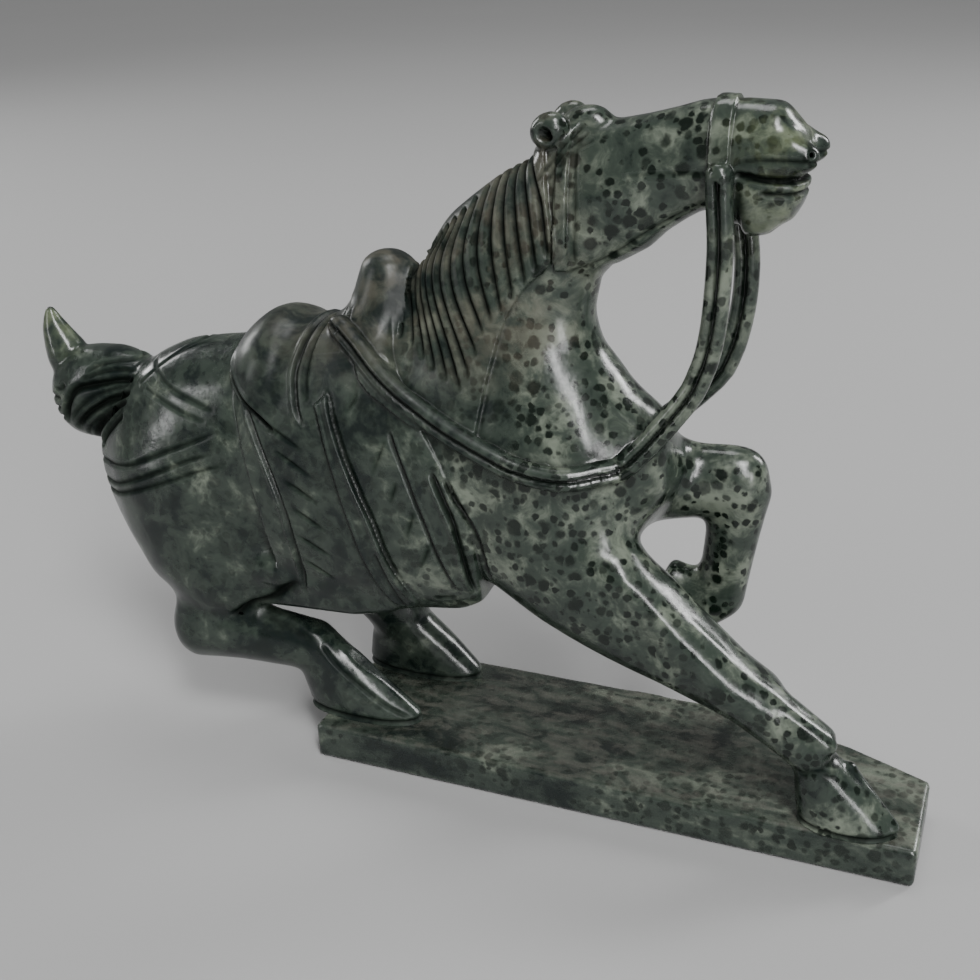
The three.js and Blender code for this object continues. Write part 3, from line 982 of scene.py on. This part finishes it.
def piece_mesh(name, points, normals, faces, marks):
    """Makes an object from three- and four-cornered faces, with given directions at its points."""
    mesh = bpy.data.meshes.new(name)
    mesh.vertices.add(len(points))
    mesh.vertices.foreach_set("co", (points * MM).astype(np.float32).ravel())
    corners = np.concatenate([f.ravel() for f in faces]).astype(np.int32)
    sizes = np.concatenate([np.full(len(f), f.shape[1]) for f in faces])
    mesh.loops.add(len(corners))
    mesh.loops.foreach_set("vertex_index", corners)
    mesh.polygons.add(len(sizes))
    mesh.polygons.foreach_set("loop_start", np.concatenate([[0], np.cumsum(sizes)[:-1]]).astype(np.int32))
    mesh.polygons.foreach_set("use_smooth", np.ones(len(sizes), bool))
    mesh.update(calc_edges=True)
    if normals is not None:
        mesh.normals_split_custom_set_from_vertices(normals.astype(np.float32))
    for key, values in marks.items():
        layer = mesh.attributes.new(key, "FLOAT", "POINT")
        layer.data.foreach_set("value", values.astype(np.float32))
    return add_to_scene(name, mesh)


WIDEST_CAP = 45.0  # borders wider than this are left open, hidden in the stone
HUB_COVER = 2.6  # how deep inside the stone a fan's point lies


def hidden_hub(form, ring, outward, samples=90):
    """A point inside the stone from which straight lines to a ring of points stay inside the stone."""
    if np.ptp(ring, axis=0).max() > WIDEST_CAP:
        return None
    step = max(1, len(ring) // samples)
    seen, middle = ring[::step], ring.mean(0)
    low, high = ring.min(0), ring.max(0)
    places = np.stack(np.meshgrid(*[np.linspace(a, b, 5) for a, b in zip(low, high)]), -1).reshape(-1, 3)
    lean = -outward.mean(0)
    sinks = [middle + lean * depth for depth in (0.5, 1, 2, 4, 7, 10, 14, 20)]
    candidates = np.vstack([places, sinks])
    bare = np.zeros(len(candidates))
    for share in (0.06, 0.15, 0.3, 0.5, 0.75, 1.0):
        spread = seen[None] + share * (candidates[:, None] - seen[None])
        depth = form.sample(spread.reshape(-1, 3)).reshape(len(candidates), -1)
        bare += np.mean(depth > -HUB_COVER * share, axis=1)
    return candidates[bare.argmin()] if bare.min() == 0 else None


def capped_piece(name, skin, quads, marks):
    """One region's faces as a piece. Its narrow borders are closed by fans inside the stone."""
    used, inverse = np.unique(quads, return_inverse=True)
    local = inverse.reshape(quads.shape)
    points = skin.points[used]
    normals = skin.normals[used]
    extra_points, extra_normals, fans = [], [], []
    for loop in border_loops(local):
        centre = len(points) + len(extra_points)
        hub = hidden_hub(skin.form, points[loop], normals[loop])
        if hub is None:
            continue
        inward = hub - points[loop].mean(0)
        extra_points.append(hub)
        extra_normals.append(inward / max(np.linalg.norm(inward), TINY))
        loop = np.array(loop)
        fans.append(np.stack([np.roll(loop, -1), loop, np.full(len(loop), centre)], 1))
    kept = {key: values[used] for key, values in marks.items()}
    if extra_points:
        points = np.vstack([points, extra_points])
        normals = np.vstack([normals, extra_normals])
        kept = {key: np.concatenate([v, np.zeros(len(extra_points))]) for key, v in kept.items()}
    return piece_mesh(name, points, normals, [local] + fans, kept)


def finish_piece(obj, node, material):
    """Gives a piece its material, attaches it to the root body and hides the CAD node that it stands for.
    """
    obj.data.materials.append(material)
    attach(obj, "root")
    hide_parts(node)


SLOTS = {part["node"]: part["material_slot"] for part in frame["record"]["subparts"]}


def hollowness(skin):
    """How far each point lies below its neighbours, evened out a little, for the painted shade in hollows.
    """
    hollow = ((skin.neighbours_mean(skin.points) - skin.points) * skin.normals).sum(1)
    for _ in range(3):
        hollow = 0.5 * hollow + 0.5 * skin.neighbours_mean(hollow[:, None])[:, 0]
    return hollow


def make_horse(materials):
    """Sculpts, engraves and divides the horse, and makes a piece of each region."""
    skin = Skin(*horse_form())
    for engrave in (
        comb_mane,
        engrave_rump,
        engrave_cloth,
        engrave_saddle,
        twist_tail,
        engrave_legs,
        engrave_reins,
        engrave_head,
    ):
        engrave(skin)
    skin.carve()
    regions = face_regions(skin)
    # groove and hollow darken the colour: dirt in the grooves, and painted shade in the grooves and
    # hollows
    marks = {
        "groove": np.clip(skin.cut / 1.5, 0, 1) ** 1.2,
        "hollow": np.clip(hollowness(skin) * 12, -1, 1),
        "matt": np.clip(skin.matt, 0, 1),
    }
    for number, node in enumerate(HORSE_NODES):
        quads = skin.quads[regions == number]
        if len(quads) == 0:
            raise RuntimeError(f"no surface belongs to {node}")
        piece = capped_piece(f"{node}_stone", skin, quads, marks)
        finish_piece(piece, node, materials[SLOTS[node]])


# -------- materials


class Graph:
    """A node material and short ways to add to it."""

    def __init__(self, name):
        self.material = bpy.data.materials.new(name)
        self.material.use_nodes = True
        self.tree = self.material.node_tree
        self.shader = self.tree.nodes["Principled BSDF"]

    def put(self, socket, value):
        if isinstance(value, bpy.types.NodeSocket):
            self.tree.links.new(value, socket)
        else:
            socket.default_value = value

    def node(self, kind, inputs, **settings):
        node = self.tree.nodes.new(kind)
        for key, value in settings.items():
            setattr(node, key, value)
        for key, value in inputs.items():
            self.put(node.inputs[key], value)
        return node

    def math(self, operation, first, *others):
        for other in others:
            first = self.node("ShaderNodeMath", {0: first, 1: other}, operation=operation).outputs[0]
        return first

    def total(self, *values):
        return self.math("ADD", *values)

    def times(self, *values):
        return self.math("MULTIPLY", *values)

    def mark(self, name):
        """A value that the engraving left at the mesh's points."""
        return self.node("ShaderNodeAttribute", {}, attribute_name=name).outputs["Fac"]

    def vector(self, operation, first, second):
        return self.node("ShaderNodeVectorMath", {0: first, 1: second}, operation=operation).outputs[0]

    def scaled(self, vector, amount):
        node = self.node("ShaderNodeVectorMath", {0: vector}, operation="SCALE")
        self.put(node.inputs["Scale"], amount)
        return node.outputs[0]

    def noise(self, vector, scale, detail=3.0, roughness=0.5, output="Fac"):
        inputs = {"Vector": vector, "Scale": scale, "Detail": detail, "Roughness": roughness}
        return self.node("ShaderNodeTexNoise", inputs).outputs[output]

    def fade(self, value, low, high, start=0.0, end=1.0):
        """A smooth step from one value to another while the input goes from low to high."""
        inputs = {0: value, 1: low, 2: high, 3: start, 4: end}
        return self.node("ShaderNodeMapRange", inputs, interpolation_type="SMOOTHSTEP").outputs[0]

    def zone(self, *limits):
        """How far a place is inside a zone, from coordinates with their outer and inner limits."""
        return self.times(*[self.fade(*limit) for limit in limits])

    def blend(self, amount, first, second):
        node = self.node("ShaderNodeMix", {0: amount, 6: first, 7: second}, data_type="RGBA")
        return node.outputs[2]

    def warped(self, vector, scale, reach):
        """A vector pushed about by noise."""
        push = self.vector("SUBTRACT", self.noise(vector, scale, 2, output="Color"), (0.5, 0.5, 0.5))
        return self.vector("ADD", vector, self.scaled(push, reach))


def round_spots(graph, place, scale, rarity, clusters):
    """Spots of mineral: one in some of the cells of a Voronoi pattern, with uneven sizes."""
    cells = graph.node("ShaderNodeTexVoronoi", {"Vector": place, "Scale": scale}, feature="F1")
    chance, strength, _ = graph.node("ShaderNodeSeparateColor", {0: cells.outputs["Color"]}).outputs
    radius = graph.fade(graph.total(chance, clusters), rarity, rarity + 0.5, 0.0, LARGEST_SPOT)
    inside = graph.math("SUBTRACT", radius, cells.outputs["Distance"])
    return graph.times(graph.fade(inside, -0.10, 0.12), graph.fade(strength, 0.0, 0.5, 0.7, 1.0))


# base colours, linear
DARK_GREEN = (0.004, 0.008, 0.007, 1)
MID_GREEN = (0.026, 0.036, 0.028, 1)
PALE_GREEN = (0.132, 0.152, 0.119, 1)
SPOT_GREEN = (0.0025, 0.006, 0.0035, 1)
WARM_GREY = (0.072, 0.064, 0.048, 1)
PLINTH_GREY = (0.085, 0.082, 0.070, 1)
YELLOW_GREEN = (0.16, 0.19, 0.10, 1)
# dirt in the grooves, and painted shade in the grooves and hollows
DIRT_AND_SHADE = (0.002, 0.0035, 0.0025, 1)

LARGEST_SPOT = 0.46  # a spot's radius, in cells of its pattern
TOP_EDGE = (PLINTH_TOP - 1.4, PLINTH_TOP - 0.2)  # where the plinth's sides turn into its top
STONE_IOR = 1.54


class Stone(Graph):
    """Polished serpentine in the shared frame, so that the pattern runs on from piece to piece."""

    stretch = (1, 1, 1)

    def __init__(self, name):
        super().__init__(name)
        where = self.node("ShaderNodeTexCoord", {}).outputs["Object"]
        self.place = self.scaled(where, 1 / MM)
        self.x, self.y, self.z = self.node("ShaderNodeSeparateXYZ", {0: self.place}).outputs
        soft = self.warped(self.vector("MULTIPLY", self.place, self.stretch), 0.07, 14.0)
        fine = self.warped(self.warped(self.place, 0.9, 0.7), 0.28, 1.9)
        self.broad = self.noise(soft, 0.030, 3, 0.55)
        self.cloud = self.noise(soft, 0.075, 5, 0.6)
        self.mottle = self.noise(self.warped(soft, 0.2, 1.2), 0.22, 5, 0.6)
        self.flecks = self.noise(fine, 0.55, 4, 0.6)

        front = self.frontness()
        light = self.total(
            self.times(self.cloud, 0.52),
            self.times(self.broad, 0.26),
            self.times(self.mottle, 0.22),
            self.times(front, 0.07),
            *self.shading(),
        )
        shade = self.blend(self.fade(light, 0.40, 0.53), DARK_GREEN, MID_GREEN)
        shade = self.blend(self.fade(light, 0.52, 0.68), shade, PALE_GREEN)
        clusters = self.fade(self.noise(soft, 0.055), 0.35, 0.65, -0.22, 0.22)
        small = round_spots(self, fine, 0.30, 0.17, clusters)
        large = round_spots(self, fine, 0.175, 0.35, clusters)
        strength = self.times(self.fade(front, 0.0, 1.0, 0.40, 1.0), *self.spot_limits())
        shade = self.blend(self.times(self.math("MAXIMUM", small, large), strength), shade, SPOT_GREEN)
        self.put(self.shader.inputs["Base Color"], self.tinted(shade))

        self.polish()
        self.put(self.shader.inputs["IOR"], STONE_IOR)
        waves = self.noise(self.place, 0.11, 3, 0.55)
        relief = self.total(waves, self.times(self.noise(self.place, 1.4, 3, 0.6), 0.015))
        bump = self.node("ShaderNodeBump", {"Strength": 0.25, "Distance": 0.9 * MM, "Height": relief})
        self.put(self.shader.inputs["Normal"], bump.outputs[0])


class PlinthStone(Stone):
    """The plinth's stone, streaked along its length, with a grey bloom on the sawn top."""

    stretch = (0.55, 0.9, 1.0)

    def frontness(self):
        return self.fade(self.broad, 0.35, 0.65, 0.35, 0.75)

    def shading(self):
        return [self.fade(self.z, *TOP_EDGE, -0.034, -0.015)]

    def spot_limits(self):
        return [self.fade(self.z, *TOP_EDGE, 1.0, 0.8)]

    def tinted(self, shade):
        streaks = self.noise(self.vector("MULTIPLY", self.place, (0.12, 0.9, 1.0)), 0.30, 6, 0.65)
        patches = self.fade(self.mottle, 0.42, 0.60, 0.10, 0.60)
        veil = self.times(patches, self.fade(streaks, 0.36, 0.66, 0.35, 1.0))
        return self.blend(self.times(self.fade(self.z, *TOP_EDGE), veil), shade, PLINTH_GREY)

    def polish(self):
        self.put(self.shader.inputs["Roughness"], self.fade(self.flecks, 0.3, 0.75, 0.22, 0.34))


class HorseStone(Stone):
    """The horse's stone: dark behind, spotted in front, with tinted tips, dirt and painted shade in its
    grooves, and painted shade in its hollows.
    """

    def frontness(self):
        return self.fade(self.total(self.x, self.times(self.broad, 70)), -75, 35)

    def shading(self):
        self.saddle = self.zone((self.z, 122, 142), (self.x, -22, -42), (self.x, -160, -135))
        brow = self.zone((self.z, 190, 215), (self.x, 30, 8), (self.x, -75, -50))
        low = self.fade(self.z, 120, 60, 0.0, -0.035)
        return [low, self.times(self.saddle, -0.025), self.times(brow, -0.02)]

    def spot_limits(self):
        return []

    def tinted(self, shade):
        mane = self.zone((self.z, 150, 185), (self.x, 0, -30), (self.x, -150, -110))
        warm = self.times(mane, self.fade(self.cloud, 0.40, 0.62, 0.0, 0.55))
        shade = self.blend(warm, shade, WARM_GREY)
        nose = self.zone((self.x, 26, 60), (self.z, 195, 215))
        tail = self.zone((self.x, -222, -236), (self.z, 140, 160))
        tips = self.times(self.math("MAXIMUM", nose, tail), self.fade(self.cloud, 0.42, 0.66, 0.0, 0.4))
        shade = self.blend(tips, shade, YELLOW_GREEN)
        # darkens the grooves and hollows: dirt in the grooves, and painted shade in the grooves and
        # hollows
        grooves, hollows = self.times(self.mark("groove"), 0.95), self.times(self.mark("hollow"), 0.7)
        return self.blend(self.math("MAXIMUM", grooves, hollows), shade, DIRT_AND_SHADE)

    def polish(self):
        """Glossy all over, but matt beside the grooves and softer on the saddle."""
        matt = self.mark("matt")
        shine = self.fade(self.flecks, 0.3, 0.75, 0.17, 0.27)
        roughness = self.total(shine, self.times(matt, 0.40), self.times(self.saddle, 0.15))
        self.put(self.shader.inputs["Roughness"], roughness)
        gloss = self.total(self.fade(matt, 0.0, 0.8, 0.42, 0.08), self.times(self.saddle, -0.12))
        self.put(self.shader.inputs["Specular IOR Level"], self.math("MAXIMUM", gloss, 0.08))


def floor_material():
    """A plain pale sheet, with a faint unevenness."""
    graph = Graph("studio_floor")
    where = graph.node("ShaderNodeTexCoord", {}).outputs["Object"]
    tone = graph.blend(graph.noise(where, 1.2, 2), (0.31, 0.31, 0.31, 1), (0.34, 0.34, 0.34, 1))
    graph.put(graph.shader.inputs["Base Color"], tone)
    graph.put(graph.shader.inputs["Roughness"], 0.9)
    return graph.material


# -------- plinth


PLINTH_STEP = 1.0
UNEVENNESS = 0.09  # the spread of the sawn faces' rise and fall
PROUDEST = 0.25  # how far that may stand out of the sawn faces


def make_plinth(material):
    """The sawn slab, with softly broken edges and a slightly uneven top."""
    low, high = node_box("plinth")
    slab = Lattice.around(low - 8, high + 8, PLINTH_STEP).node("plinth", 6)
    slab.soften(0.8)
    _, _, z = slab.axes()
    random = np.random.default_rng(7)
    rough = Lattice(slab.first, random.normal(size=slab.values.shape).astype(np.float32), PLINTH_STEP)
    rough.soften(5.0)
    rough.values *= np.float32(UNEVENNESS) / rough.values.std()
    rough.values *= np.clip((z - low[2]) / 4, 0, 1)
    slab.values += np.maximum(rough.values, -PROUDEST)
    points, quads = surface_of(slab)
    points[:, 2] = np.maximum(points[:, 2], low[2])
    piece = piece_mesh("plinth_stone", points, None, [quads], {})
    finish_piece(piece, "plinth", material)


# -------- studio

CAMERA_ROUND, CAMERA_UP, CAMERA_ROLL = (math.radians(angle) for angle in (22.91, 24.30, -1.90))
CAMERA_DISTANCE = 2.194  # in plinth lengths, like the point that it looks at
CAMERA_TARGET = (-0.220, 0, 0.486)
FLOOR_HALF = 20000
LIGHT_TARGET = Vector((-0.05, 0, 0.12))
LAMPS = {  # place, width and height in metres, and power in watts
    "key": ((0.95, -1.35, 1.30), (0.32, 1.7), 37),
    "strip": ((1.45, -1.25, 0.45), (0.25, 0.8), 9),
    "top": ((-0.3, 0.5, 2.0), (0.8, 0.6), 9),
    "fill": ((-1.5, -1.1, 0.7), (0.22, 1.1), 7),
    "back": ((1.2, 1.4, 1.1), (0.4, 1.0), 24),
    "rear": ((-1.9, 0.6, 0.9), (0.4, 1.0), 14),
}


def add_to_scene(name, data):
    obj = bpy.data.objects.new(name, data)
    bpy.context.scene.collection.objects.link(obj)
    return obj


def make_camera():
    """The photograph's view, with a normal lens."""
    low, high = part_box("plinth")
    turn = Matrix.Rotation(CAMERA_ROUND, 3, "Z") @ Matrix.Rotation(math.pi / 2 - CAMERA_UP, 3, "X")
    back = turn @ Vector((0, 0, 1))
    place = (Vector(CAMERA_TARGET) + back * CAMERA_DISTANCE) * (high - low).x
    camera = add_to_scene("camera", bpy.data.cameras.new("camera"))
    camera.data.lens = 50
    camera.data.sensor_width = 36
    camera.matrix_world = Matrix.LocRotScale(place, turn @ Matrix.Rotation(CAMERA_ROLL, 3, "Z"), None)
    bpy.context.scene.camera = camera


def make_floor():
    corners = np.array([[-1, -1, 0], [1, -1, 0], [1, 1, 0], [-1, 1, 0]], float) * FLOOR_HALF
    floor = piece_mesh("floor", corners, None, [np.array([[0, 1, 2, 3]])], {})
    floor.data.materials.append(floor_material())


def make_lights():
    """A pale room, six soft lamps and a weak sun."""
    world = bpy.data.worlds.new("studio")
    bpy.context.scene.world = world
    world.use_nodes = True
    room = world.node_tree.nodes["Background"].inputs
    room["Color"].default_value = (0.80, 0.80, 0.80, 1)
    room["Strength"].default_value = 0.245
    for name, (where, size, power) in LAMPS.items():
        lamp = bpy.data.lights.new(name, "AREA")
        lamp.shape = "RECTANGLE"
        lamp.size, lamp.size_y = size
        lamp.energy = power
        obj = add_to_scene(name, lamp)
        obj.location = where
        obj.rotation_euler = (LIGHT_TARGET - Vector(where)).to_track_quat("-Z", "Y").to_euler()
    sun = bpy.data.lights.new("daylight", "SUN")
    sun.energy = 1.5
    sun.angle = 0.35
    add_to_scene("daylight", sun).rotation_euler = (0.5, 0.25, 0.3)


# -------- scene

materials = {}
for entry in frame["record"]["materials"]:
    slot = entry["slot"]
    stone = PlinthStone if slot == SLOTS["plinth"] else HorseStone
    materials[slot] = stone(slot).material
make_horse(materials)
make_plinth(materials[SLOTS["plinth"]])
make_camera()
make_floor()
make_lights()
